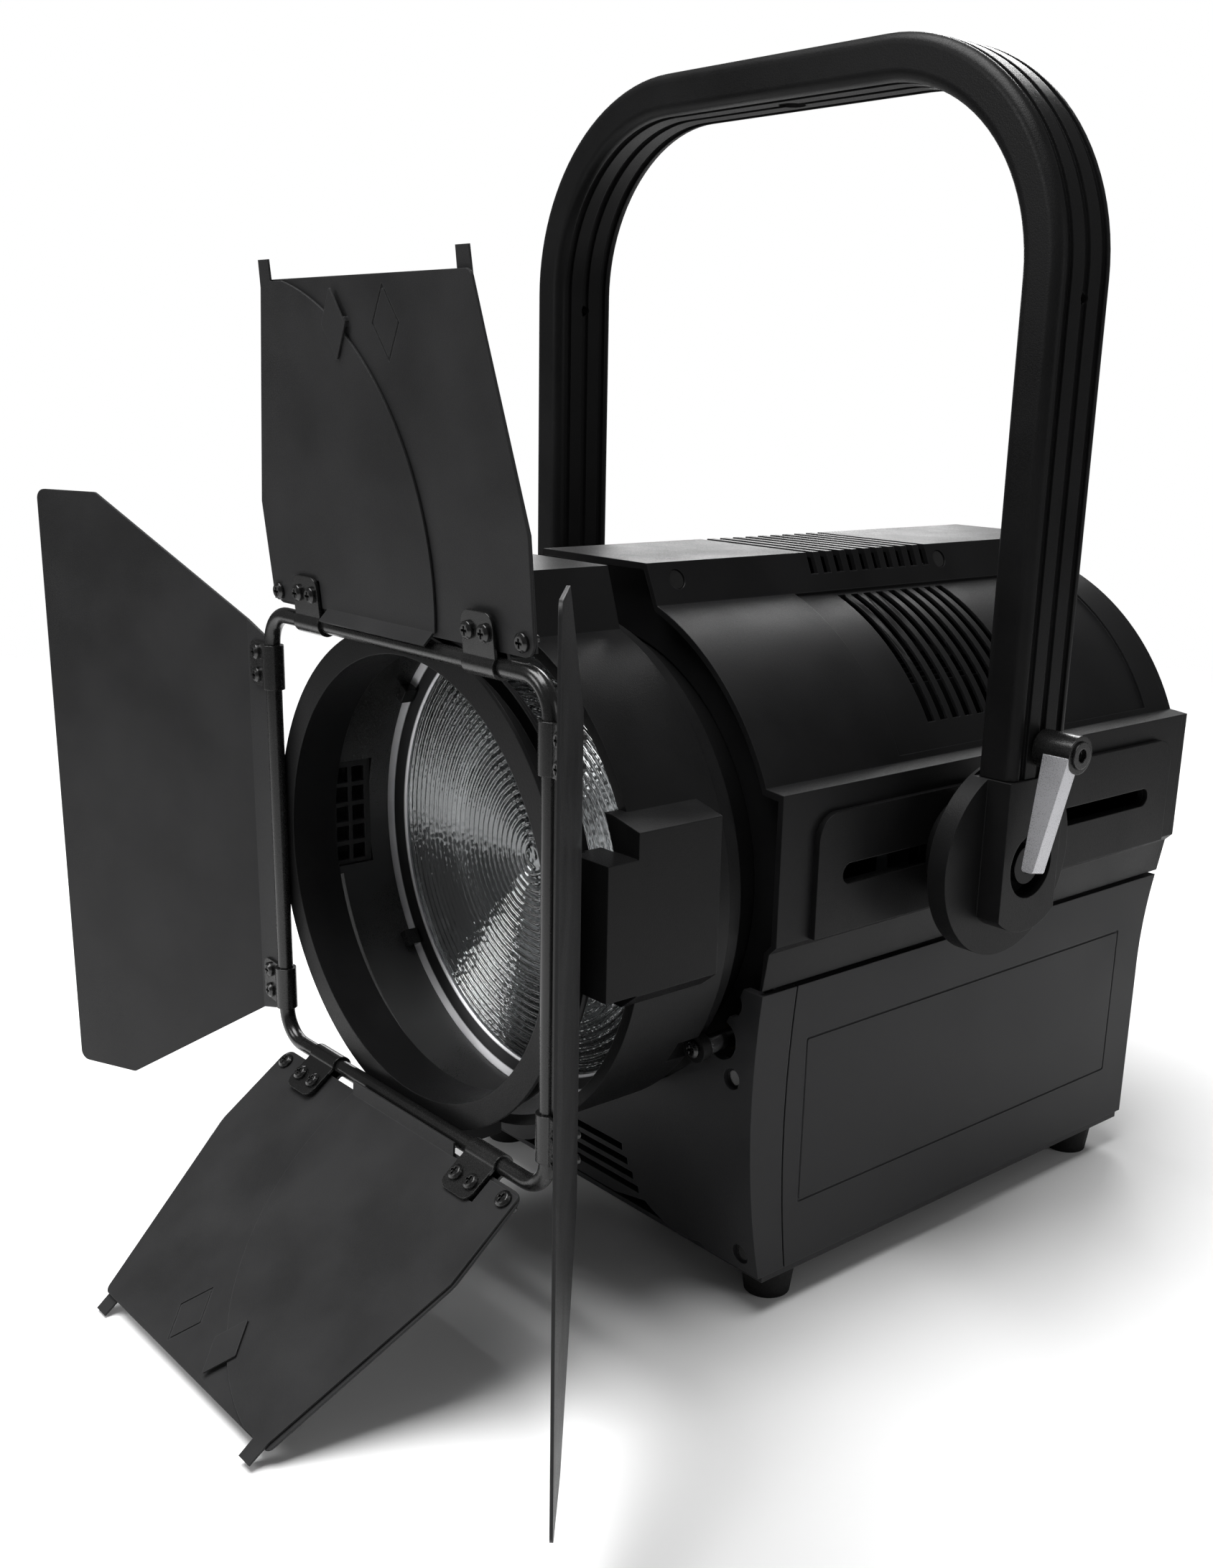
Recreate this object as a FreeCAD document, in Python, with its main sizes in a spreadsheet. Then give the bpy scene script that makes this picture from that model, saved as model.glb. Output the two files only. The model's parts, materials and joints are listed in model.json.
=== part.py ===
import FreeCAD, Part
import math
import os
from types import SimpleNamespace

os.makedirs("parts", exist_ok=True)
doc = FreeCAD.newDocument("FresnelSpotlight")
V = FreeCAD.Vector
X_AXIS = V(1, 0, 0)
Y_AXIS = V(0, 1, 0)
Z_AXIS = V(0, 0, 1)

# Driving dimensions in millimetres. The spotlight stands on its feet at z = 0 and shines
# along -Y. Names that end in _y are measured back from the plane of the barndoor's rod frame.
DIMENSIONS = {
    "axis_height": 202,         # optical axis above the floor
    "rod_plane": -258,          # y of the barndoor's rod frame
    "wall": 3,
    "shell_radius": 127.4,
    "shell_front_y": 106.5,
    "shell_length": 305.5,
    "side_half": 127,
    "base_half": 119,
    "ridge_half": 37,
    "ridge_top": 137,
    "base_top": 40,             # below the optical axis
    "base_bottom": 186,
    "base_front_y": 116.5,
    "base_length": 296,
    "rear_lean": 8,             # how far the rear wall curves in below the rear cap
    "panel_sheet": 2.5,
    "fascia_sheet": 4,
    "head_radius": 119,
    "head_bore": 114,
    "head_front_y": 37,
    "head_length": 49,
    "head_block_half": 124,
    "lens_radius": 107,
    "lens_y": 73,
    "lens_thick": 11,
    "sleeve_radius": 104,
    "sleeve_wall": 3,
    "sleeve_length": 100,
    "guide_x": 100,
    "guide_drop": 67,
    "guide_radius": 4.5,
    "guide_length": 140,
    "slot_height": 9.5,
    "slot_front_y": 143,
    "slot_rear_y": 381,
    "pivot_y": 222.5,
    "pivot_rise": 10,           # yoke pivot above the optical axis
    "pivot_radius": 3.5,
    "disc_radius": 45,
    "carriage_radius": 24,
    "yoke_half": 170,
    "yoke_thick": 19.4,
    "yoke_width": 39,
    "yoke_top": 357.8,
    "yoke_bend": 100,
    "yoke_foot": 50.5,
    "lever_rise": 64,
    "lever_hub": 8.5,
    "ring_radius": 112,
    "ring_bore": 100,
    "ring_flange": 108,
    "rod_half": 106.4,
    "rod_radius": 3.75,
    "rod_corner": 15,
    "leaf_sheet": 1.2,
    "flap_sheet": 1,
    "leaf_gap": 0.35,
    "clip_width": 21,
    "clip_sheet": 1.4,
    "end_leaf_length": 145,
    "end_leaf_half": 98.7,
    "side_leaf_fold": 27,
    "side_leaf_length": 128,
    "foot_radius": 13,
    "foot_height": 15,
    "foot_x": 104,
    "foot_front_y": 136,
    "foot_rear_y": 380,
}

sheet = doc.addObject("Spreadsheet::Sheet", "Dims")
for row, (alias, value) in enumerate(DIMENSIONS.items(), 1):
    sheet.set("A%d" % row, alias)
    sheet.set("B%d" % row, str(value))
    sheet.setAlias("B%d" % row, alias)
doc.recompute()
d = SimpleNamespace(**{alias: float(sheet.get(alias)) for alias in DIMENSIONS})

nodes = []


# ---------------------------------------------------------------- drawing helpers

def back(distance):
    """The y of a point that lies this far behind the rod frame."""
    return d.rod_plane + distance


def up(height):
    """The z of a point this far above the optical axis."""
    return d.axis_height + height


def outline(start, *steps):
    """Closed outline: (u, v) is a straight step, ((mu, mv), (u, v)) an arc through m."""
    edges = []
    here = V(start[0], start[1], 0)
    for step in steps + (start,):
        if isinstance(step[0], tuple):
            middle, finish = (V(p[0], p[1], 0) for p in step)
            edges.append(Part.Arc(here, middle, finish))
        else:
            finish = V(step[0], step[1], 0)
            if finish.distanceToPoint(here) > 1e-6:
                edges.append(Part.LineSegment(here, finish))
        here = finish
    return edges


def rounded(*corners):
    """Closed polygon whose corners (u, v, r) are rounded by radius r."""
    count = len(corners)
    points = [V(c[0], c[1], 0) for c in corners]
    edges, ends = [], []
    for i, corner in enumerate(points):
        radius = corners[i][2]
        to_last = (points[i - 1] - corner).normalize()
        to_next = (points[(i + 1) % count] - corner).normalize()
        half = to_last.getAngle(to_next) / 2
        reach = radius / math.tan(half)
        first, last = corner + to_last * reach, corner + to_next * reach
        if radius > 0:
            inward = (to_last + to_next).normalize()
            middle = corner + inward * (radius / math.sin(half) - radius)
            edges.append(Part.Arc(first, middle, last))
        ends.append((first, last))
    for i in range(count):
        here, there = ends[i][1], ends[(i + 1) % count][0]
        if here.distanceToPoint(there) > 1e-6:
            edges.append(Part.LineSegment(here, there))
    return edges


def rectangle(u0, v0, u1, v1, radius=0):
    return rounded((u0, v0, radius), (u1, v0, radius), (u1, v1, radius), (u0, v1, radius))


def circle(u, v, radius):
    return [Part.Circle(V(u, v, 0), Z_AXIS, radius)]


def obround(u0, u1, v, height):
    """Slot from u0 to u1 with round ends, centred on v."""
    r = height / 2
    return outline((u0 + r, v - r), (u1 - r, v - r), ((u1, v), (u1 - r, v + r)),
                   (u0 + r, v + r), ((u0, v), (u0 + r, v - r)))


def sketch_on(body, role, loops, shift):
    """A sketch on one of the body's own origin planes, moved by spreadsheet formulas."""
    sketch = body.newObject("Sketcher::SketchObject", body.Name + "Sketch")
    plane = [f for f in body.Origin.OriginFeatures if f.Role == role][0]
    sketch.AttachmentSupport = [(plane, "")]
    sketch.MapMode = "FlatFace"
    for axis, formula in zip("xyz", shift):
        if formula != "":
            sketch.setExpression("AttachmentOffset.Base." + axis, str(formula))
    for loop in loops:
        sketch.addGeometry(loop, False)
    return sketch


def padded(name, role, loops, length, shift):
    body = doc.addObject("PartDesign::Body", name)
    pad = body.newObject("PartDesign::Pad", name + "Pad")
    pad.Profile = sketch_on(body, role, loops, shift)
    pad.setExpression("Length", str(length))
    pad.Reversed = role == "XZ_Plane"
    body.Tip = pad
    return body


def prism_y(name, loops, start, length, lift="Dims.axis_height"):
    """Outline in (x, z) above the optical axis, padded backwards from start."""
    return padded(name, "XZ_Plane", loops, length, ("", lift, "-(Dims.rod_plane + %s)" % start))


def prism_x(name, loops, start, length):
    """Outline in (y behind the rod frame, z above the axis), padded along +X from start."""
    return padded(name, "YZ_Plane", loops, length, ("Dims.rod_plane", "Dims.axis_height", start))


def prism_z(name, loops, start, length):
    return padded(name, "XY_Plane", loops, length, ("", "", start))


def turned(name, loop):
    """Outline in (y behind the rod frame, radius), turned round the optical axis."""
    body = doc.addObject("PartDesign::Body", name)
    turn = body.newObject("PartDesign::Revolution", name + "Turn")
    sketch = sketch_on(body, "YZ_Plane", [loop], ("Dims.rod_plane", "Dims.axis_height", ""))
    turn.Profile = sketch
    turn.ReferenceAxis = (sketch, ["H_Axis"])
    turn.Angle = 360
    body.Tip = turn
    return body


def bar(name, start, axis, radius, length):
    """Round bar; radius and length are spreadsheet formulas."""
    item = doc.addObject("Part::Cylinder", name)
    item.setExpression("Radius", str(radius))
    item.setExpression("Height", str(length))
    item.Placement = FreeCAD.Placement(start, FreeCAD.Rotation(Z_AXIS, axis))
    return item


def block(name, corner, sizes):
    item = doc.addObject("Part::Box", name)
    for side, formula in zip(("Length", "Width", "Height"), sizes):
        item.setExpression(side, str(formula))
    item.Placement = FreeCAD.Placement(corner, FreeCAD.Rotation())
    return item


def join(name, parts):
    item = doc.addObject("Part::MultiFuse", name)
    item.Shapes = parts
    item.Refine = True
    return item


def cut(name, base, tools):
    item = doc.addObject("Part::Cut", name)
    item.Base = base
    item.Tool = tools[0] if len(tools) == 1 else join(name + "Tools", tools)
    return item


def group(name, parts):
    item = doc.addObject("Part::Compound", name)
    item.Links = parts
    return item


def node(label, item):
    item.Label = label
    nodes.append(item)
    return item


def both_sides(make):
    """Call make(side name, sign) for the left (-X) and the right (+X)."""
    return [make(side, sign) for side, sign in (("left", -1), ("right", 1))]


def screw(name, at, axis, head_radius, head_height, shank_radius, length):
    """Domed cross-recess screw whose head stands on `at` and whose shank runs along axis."""
    crown = head_height * 0.45
    dome = doc.addObject("Part::Cone", name + "Dome")
    dome.Radius1 = head_radius * 0.7
    dome.Radius2 = head_radius
    dome.Height = crown
    dome.Placement = FreeCAD.Placement(at - axis * head_height, FreeCAD.Rotation(Z_AXIS, axis))
    rim = bar(name + "Rim", at - axis * (head_height - crown), axis, head_radius, head_height - crown)
    recess = []
    for k, angle in enumerate((0, 90)):
        sizes = (head_radius, head_radius * 0.26, 1 + crown * 1.2)
        arm = block("%sRecess%d" % (name, k), V(0, 0, 0), sizes)
        place = FreeCAD.Placement(at - axis * (head_height + 1), FreeCAD.Rotation(Z_AXIS, axis))
        turn = FreeCAD.Placement(V(0, 0, 0), FreeCAD.Rotation(Z_AXIS, angle))
        corner = FreeCAD.Placement(V(-head_radius * 0.5, -head_radius * 0.13, 0), FreeCAD.Rotation())
        arm.Placement = place.multiply(turn).multiply(corner)
        recess.append(arm)
    buried = head_height * 0.3
    shank = bar(name + "Shank", at - axis * buried, axis, shank_radius, length + buried)
    return join(name, [cut(name + "Top", join(name + "Head", [dome, rim]), recess), shank])


# ---------------------------------------------------------------- housing

def housing_outline(inset, low):
    """Cross-section of the housing: ridge, round shoulders, flat sides, skirt."""
    radius = d.shell_radius - inset
    top = d.ridge_top - inset
    ridge, foot = d.ridge_half - inset * 0.5, d.ridge_half + 8 - inset * 0.5
    step = 51 - inset
    side, skirt = d.side_half - inset, d.base_half + 1 - inset
    shoulder_x = math.sqrt(radius ** 2 - step ** 2)
    foot_z = math.sqrt(radius ** 2 - foot ** 2)
    middle = radius * math.sqrt(0.5)
    return outline((skirt, low), (side - 4, -21), (side, -17), (side, step - 1), (shoulder_x, step),
                   ((middle, middle), (foot, foot_z)), (ridge, top),
                   (-ridge, top), (-foot, foot_z), ((-middle, middle), (-shoulder_x, step)),
                   (-side, step - 1), (-side, -17), (4 - side, -21), (-skirt, low))


def wedge(name, start_y, length, radius, low_angle, span):
    """Sector of a cylinder on the optical axis; the angle is measured up from +X."""
    item = doc.addObject("Part::Cylinder", name)
    item.Radius = radius
    item.Height = length
    item.Angle = span
    turn = FreeCAD.Rotation(Y_AXIS, -low_angle - span) * FreeCAD.Rotation(X_AXIS, -90)
    item.Placement = FreeCAD.Placement(V(0, back(start_y), d.axis_height), turn)
    return item


RIDGE_SLOTS = 10
SHOULDER_SLOTS = 9
VENT_PITCH = 9.2
RIDGE_VENT_Y = 208


def upper_shell():
    outer = prism_y("ShellOuter", [housing_outline(0, -39)], "Dims.shell_front_y", "Dims.shell_length")
    inner = prism_y("ShellInner", [housing_outline(d.wall, -60)], "Dims.shell_front_y - 1",
                    "Dims.shell_length + 2")
    tools = [inner]
    for k in range(RIDGE_SLOTS):
        corner = V(-d.ridge_half - 5, back(RIDGE_VENT_Y + k * VENT_PITCH), up(127))
        tools.append(block("RidgeSlot%d" % k, corner, ("2 * Dims.ridge_half + 10", 5, 14)))
    for k in range(SHOULDER_SLOTS):
        for side, low in (("Right", 31), ("Left", 112)):
            tools.append(wedge("Shoulder%s%d" % (side, k), 221 + k * VENT_PITCH, 5.4, 140, low, 37))
    for side, low in (("Right", 25), ("Left", 110.8)):
        sector = wedge("Panel" + side, 193, 200, 140, low, 44.2)
        core = bar("PanelCore" + side, V(0, back(190), d.axis_height), Y_AXIS,
                   "Dims.shell_radius - 1.4", 210)
        tools.append(cut("PanelStep" + side, sector, [core]))
    slot = prism_x("ShellSlot", [obround(d.slot_front_y, d.slot_rear_y, d.pivot_rise, d.slot_height)],
                   "-Dims.side_half - 5", "2 * Dims.side_half + 10")
    tools.append(slot)
    for x in (-41, 41):
        for y in (122, 305):
            tools.append(bar("RidgeHole%d_%d" % (x + 41, y), V(x * 1.06, back(y), up(131)),
                             V(-x, 0, -18).normalize(), 4.6, 9))
    node("upper_housing_shell", cut("UpperShell", outer, tools))


def slide_plates():
    def plate(side, sign):
        start = "Dims.side_half" if sign > 0 else "-Dims.side_half - Dims.wall"
        frame = rounded((127, -16.8, 0), (400, -16.8, 0), (400, 39, 12), (127, 39, 12))
        slot = obround(d.slot_front_y, d.slot_rear_y, d.pivot_rise, d.slot_height)
        node("slide_plate_" + side, prism_x("SlidePlate" + side, [frame, slot], start, "Dims.wall"))
    both_sides(plate)


def bulkhead():
    """Front plate inside the housing that carries the guide bushings."""
    half = d.base_half - d.panel_sheet - 0.4
    face = prism_y("BulkheadTop", [housing_outline(d.wall + 0.4, -38)], 114, 3)
    lower = prism_y("BulkheadLow", [rectangle(-half, -142, half, -37.9)], 114, 3)
    tools = [bar("BulkheadBore", V(0, back(113), d.axis_height), Y_AXIS, "Dims.sleeve_radius + 1.2", 6),
             bar("ScrewBearing", V(0, back(113), up(-SCREW_DROP)), Y_AXIS, 4.05, 6)]
    for x in (-d.guide_x, d.guide_x):
        tools.append(bar("BulkheadGuide%d" % (x > 0), V(x, back(113), up(-d.guide_drop)), Y_AXIS, 8, 6))
    node("front_bulkhead", cut("Bulkhead", join("BulkheadPlate", [face, lower]), tools))


def rear_cap():
    thick = prism_y("CapPlate", [housing_outline(0, -39)], "Dims.shell_front_y + Dims.shell_length", 4)
    crown = prism_y("CapCrown", [housing_outline(5, -36)],
                    "Dims.shell_front_y + Dims.shell_length + 3.9", 3.2)
    tools = []
    for k in range(-6, 7):
        chord = math.sqrt(50 ** 2 - (8 * k) ** 2)
        corner = V(-chord, back(405), up(15 + 8 * k - 2.2))
        tools.append(block("GrilleSlot%d" % (k + 6), corner, (2 * chord, 20, 4.4)))
    node("rear_cap", cut("RearCap", join("CapBlank", [thick, crown]), tools))


# ---------------------------------------------------------------- base

# The base's front edges are bowed: how far back they stand at the top, middle and foot.
BOW_TOP, BOW_MIDDLE, BOW_FOOT = -40.6, -107, -181
FASCIA_BOW = (105.5, 102, 111.5)
COVER_BOW = (127.8, 123.8, 129)


def bowed_band(near, far):
    """Closed outline between two bowed edges, seen from the right."""
    return outline((near[0], BOW_TOP), ((near[1], BOW_MIDDLE), (near[2], BOW_FOOT)), (far[2], BOW_FOOT),
                   ((far[1], BOW_MIDDLE), (far[0], BOW_TOP)))


def fascia_y(z):
    """Where the bowed fascia stands at a height, read off the curve through its three places."""
    (y0, y1, y2), (z0, z1, z2) = FASCIA_BOW, (BOW_TOP, BOW_MIDDLE, BOW_FOOT)
    chord = y0 + (y2 - y0) * (z - z0) / (z2 - z0)
    sag = y1 - y0 - (y2 - y0) * (z1 - z0) / (z2 - z0)
    return chord + sag * (z - z0) * (z - z2) / ((z1 - z0) * (z1 - z2))


def rear_wall(inset):
    """Steps down the outside of the curved rear wall, to be used in an outline."""
    rear = d.base_front_y + d.base_length - inset
    foot = rear - d.rear_lean
    return [(rear, BOW_TOP), ((foot + 1.6, -68), (foot, -97)), (foot, inset - d.base_bottom)]


def base():
    front, wall = d.base_front_y, d.panel_sheet
    blank = [outline((front, BOW_TOP), *rear_wall(0), (front, -d.base_bottom))]
    hollow = rear_wall(wall)
    inside = [outline((front - 1, 0), (hollow[0][0], 0), *hollow, (front - 1, wall - d.base_bottom))]
    body = prism_x("CasingBlank", blank, "-Dims.base_half", "2 * Dims.base_half")
    tools = [prism_x("CasingInside", inside, "Dims.panel_sheet - Dims.base_half",
                     "2 * (Dims.base_half - Dims.panel_sheet)")]
    for i, (x, z, width, height) in enumerate(REAR_CUTOUTS):
        tools.append(block("RearCut%d" % i, V(x - width / 2, back(REAR_FACE - 30), up(z - height / 2)),
                           (width, 40, height)))
    node("base_casing", cut("Casing", body, tools))

    def side_panel(side, sign):
        top, middle, foot = COVER_BOW
        cover = outline((top, BOW_TOP), *rear_wall(0)[:2], (REAR_FACE, BOW_FOOT), (foot, BOW_FOOT),
                        ((middle, BOW_MIDDLE), (top, BOW_TOP)))
        panel = prism_x("SidePanel" + side, [cover],
                        "Dims.base_half" if sign > 0 else "-Dims.base_half - Dims.panel_sheet",
                        "Dims.panel_sheet")
        line = [rectangle(135, -149.5, 382, -67, 1), rectangle(136.2, -148.3, 380.8, -68.2, 1)]
        face = d.base_half + d.panel_sheet
        groove = prism_x("SideGroove" + side, line, str(sign * face - 0.5), 1)
        node("base_side_panel_" + side, cut("SideCover" + side, panel, [groove]))
    both_sides(side_panel)


FASCIA_SCREWS = ((108, -83), (111, -172))


def fascia():
    """Bowed front cover of the base: dished for the head, vented in the middle."""
    side = d.base_half + d.panel_sheet
    bore = 117
    rim_x = math.sqrt(bore ** 2 - BOW_TOP ** 2)
    face = outline((side, BOW_TOP), (rim_x, BOW_TOP), ((0, -bore), (-rim_x, BOW_TOP)), (-side, BOW_TOP),
                   (-side, BOW_FOOT), ((-101, -183.5), (-82, -179)), ((-60, -180), (-44, -173)),
                   (-20, -178), (20, -178), (44, -173), ((60, -180), (82, -179)),
                   ((101, -183.5), (side, BOW_FOOT)))
    deep = prism_y("FasciaFace", [face], 95, 25)
    sheet_rear = [y + d.fascia_sheet for y in FASCIA_BOW]
    bowed = prism_x("FasciaBowed", [bowed_band(FASCIA_BOW, sheet_rear)], -side, 2 * side)
    plate = doc.addObject("Part::MultiCommon", "FasciaPlate")
    plate.Shapes = [deep, bowed]
    gap_edge = [y - 1 for y in COVER_BOW]
    returns = [prism_x("FasciaReturn%d" % i, [bowed_band(FASCIA_BOW, gap_edge)], x, "Dims.panel_sheet")
               for i, x in enumerate((-side, d.base_half))]
    tools = []
    for k in range(4):
        tools.append(block("FasciaSlot%d" % k, V(-31 - 3 * k, back(98), up(-149.5 - 7 * k)),
                           (62 + 6 * k, 20, 4)))
    for x in (-1, 1):
        for k, (u, z, radius) in enumerate(((d.guide_x, -d.guide_drop, 9), (104, -49, 6))):
            tools.append(bar("FasciaHole%d_%d" % (x + 1, k), V(x * u, back(96), up(z)), Y_AXIS, radius, 18))
        for k, (u, z) in enumerate(FASCIA_SCREWS):
            tools.append(bar("FasciaRecess%d_%d" % (x + 1, k), V(x * u, back(fascia_y(z) - 2), up(z)),
                             Y_AXIS, 5, 5))
    node("front_fascia", cut("Fascia", join("FasciaBlank", [plate] + returns), tools))


def feet():
    pads = []
    for x in (-d.foot_x, d.foot_x):
        for y in (d.foot_front_y, d.foot_rear_y):
            foot = doc.addObject("Part::Cone", "Foot%d_%d" % (x > 0, y))
            foot.setExpression("Radius1", "Dims.foot_radius - 2")
            foot.setExpression("Radius2", "Dims.foot_radius")
            foot.setExpression("Height", "Dims.foot_height")
            foot.Placement.Base = V(x, back(y), 0)
            pads.append(foot)
    node("rubber_feet", group("RubberFeet", pads))


def housing_screws():
    screws = []
    for x in (-41, 41):
        for y in (122, 305):
            at = V(x * 1.06, back(y), up(131))
            inward = V(-x, 0, -18).normalize()
            screws.append(bar("RidgeScrew%d_%d" % (x + 41, y), at + inward * 4, inward, 4.4, 7))
    for x in (-1, 1):
        for u, z in FASCIA_SCREWS:
            screws.append(bar("FasciaScrew%d_%d" % (x + 1, -z), V(x * u, back(fascia_y(z) + 2.1), up(z)),
                              Y_AXIS, 3.6, 0.85))
    node("housing_screws", group("HousingScrews", screws))


# ---------------------------------------------------------------- inside the housing

def light_engine():
    """LED board with its domed collimator, and the finned heat sink behind it."""
    board = block("LedBoard", V(-32, back(236), up(-32)), (64, 3, 64))
    dome = turned("LedDome", outline((214, 0), ((219.5, 16), (234, 23)), (236.1, 23), (236.1, 0)))
    node("led_module", join("LedModule", [board, dome]))
    base_plate = block("SinkBase", V(-75, back(239), up(-75)), (150, 9, 150))
    fins = [block("Fin%d" % k, V(-74 + 10.5 * k, back(247.5), up(-75)), (2, 88, 150)) for k in range(15)]
    node("heat_sink", join("HeatSink", [base_plate] + fins))


FAN_HEIGHT = 15


def fan():
    frame = prism_y("FanBox", [rectangle(-55, FAN_HEIGHT - 55, 55, FAN_HEIGHT + 55, 5),
                               circle(0, FAN_HEIGHT, 52.5)], 384, 25)
    spokes = [block("FanSpoke%d" % k, V(-54, back(404), up(FAN_HEIGHT - 2)), (108, 4, 4)) for k in (0, 1)]
    middle = V(0, back(404), up(FAN_HEIGHT))
    spokes[1].Placement = FreeCAD.Placement(middle, FreeCAD.Rotation(Y_AXIS, 90)).multiply(
        FreeCAD.Placement(V(-54, 0, -2), FreeCAD.Rotation()))
    motor = bar("FanMotor", V(0, back(402), up(FAN_HEIGHT)), Y_AXIS, 19, 6)
    node("fan_frame", join("FanFrame", [frame, motor] + spokes))
    hub = bar("FanHub", V(0, back(386), up(FAN_HEIGHT)), Y_AXIS, 20, 15)
    blades = []
    for k in range(7):
        blade = block("Blade%d" % k, V(0, 0, 0), (32, 13, 1.6))
        turn = FreeCAD.Rotation(Y_AXIS, k * 360 / 7) * FreeCAD.Rotation(X_AXIS, 32)
        blade.Placement = FreeCAD.Placement(V(0, back(393.5), up(FAN_HEIGHT)), turn).multiply(
            FreeCAD.Placement(V(18, -6.5, -0.8), FreeCAD.Rotation()))
        blades.append(blade)
    node("fan_rotor", join("FanRotor", [hub] + blades))


SCREW_DROP = 128            # zoom lead screw below the optical axis


def zoom_drive():
    node("zoom_motor", join("ZoomMotor", [
        block("MotorBody", V(-21, back(250), up(-SCREW_DROP - 21)), (42, 40, 42)),
        bar("MotorBoss", V(0, back(248), up(-SCREW_DROP)), Y_AXIS, 11, 2.1),
        block("MotorBracket", V(-24, back(250.5), up(2.5 - d.base_bottom)), (48, 3, 62))]))
    node("lead_screw", bar("LeadScrew", V(0, back(114.5), up(-SCREW_DROP)), Y_AXIS, 4, 133.2))
    bushings = []
    for x in (-d.guide_x, d.guide_x):
        outer = bar("BushingOuter%d" % (x > 0), V(x, back(112), up(-d.guide_drop)), Y_AXIS, 7.9, 26)
        hole = bar("BushingHole%d" % (x > 0), V(x, back(111), up(-d.guide_drop)), Y_AXIS,
                   "Dims.guide_radius + 0.05", 30)
        bushings.append(cut("Bushing%d" % (x > 0), outer, [hole]))
    node("guide_bushings", group("GuideBushings", bushings))


def electronics():
    floor = 2.5 - d.base_bottom
    case = block("SupplyCase", V(-112, back(170), up(floor + 4)), (86, 200, 46))
    standoffs = [block("SupplyFoot%d" % k, V(-112, back(y), up(floor)), (86, 12, 4.1))
                 for k, y in enumerate((180, 340))]
    node("power_supply", join("PowerSupply", [case] + standoffs))


# ---------------------------------------------------------------- rear controls

# x, height above the axis, width and height of each opening in the rear wall of the base
REAR_CUTOUTS = ((-40, -115, 52, 26), (8, -115, 11, 11), (28, -115, 11, 11), (48, -115, 11, 11),
                (-70, -155, 34, 28), (10, -155, 24, 24), (52, -155, 24, 24))
REAR_FACE = d.base_front_y + d.base_length - d.rear_lean
BUTTON_NAMES = ("menu", "up", "down")


def controls():
    y = back(REAR_FACE)
    x, z, width, height = REAR_CUTOUTS[0]
    corner = V(x - width / 2 + 0.1, y - 5, up(z - height / 2) + 0.1)
    node("display_window", block("DisplayWindow", corner, (width - 0.2, 4, height - 0.2)))
    for name, (x, z, _, _) in zip(BUTTON_NAMES, REAR_CUTOUTS[1:4]):
        cap = bar("Cap" + name, V(x, y - 7, up(z)), Y_AXIS, 4.8, 9.5)
        rim = bar("Rim" + name, V(x, y - 7, up(z)), Y_AXIS, 7, 1.5)
        node("button_" + name, join("Button" + name, [cap, rim]))
    x, z, width, height = REAR_CUTOUTS[4]
    body = block("InletBody", V(x - width / 2 + 0.1, y - 18, up(z - height / 2) + 0.1),
                 (width - 0.2, 19, height - 0.2))
    flange = block("InletFlange", V(x - 24, y + 1.5, up(z - 17)), (48, 2.5, 34))
    spacer = block("InletSpacer", V(x - width / 2 + 0.1, y, up(z - height / 2) + 0.1),
                   (width - 0.2, 2, height - 0.2))
    well = block("InletWell", V(x - 12, y - 13, up(z - 9)), (24, 20, 18))
    pins = [block("InletPin%d" % k, V(x + px - 1, y - 14, up(z + pz - 2)), (2, 14, 4))
            for k, (px, pz) in enumerate(((-7, -2), (0, 3), (7, -2)))]
    shell = cut("InletShell", join("InletBlank", [body, flange, spacer]), [well])
    node("power_inlet", join("PowerInlet", [shell] + pins))
    sockets = []
    for k, (x, z, width, _) in enumerate(REAR_CUTOUTS[5:7]):
        plate = block("DataPlate%d" % k, V(x - 14, y + 1.5, up(z - 16)), (28, 2.5, 32))
        barrel = bar("DataBarrel%d" % k, V(x, y - 16, up(z)), Y_AXIS, width / 2 - 0.3, 19)
        hole = bar("DataHole%d" % k, V(x, y - 10, up(z)), Y_AXIS, 9.5, 20)
        sockets.append(cut("DataSocket%d" % k, join("DataBlank%d" % k, [plate, barrel]), [hole]))
    node("data_sockets", group("DataSockets", sockets))


# ---------------------------------------------------------------- sliding lens head

LATCH_Y = 14.4
CHEEK_FRONT, CHEEK_REAR = 30, 74.5


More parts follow.
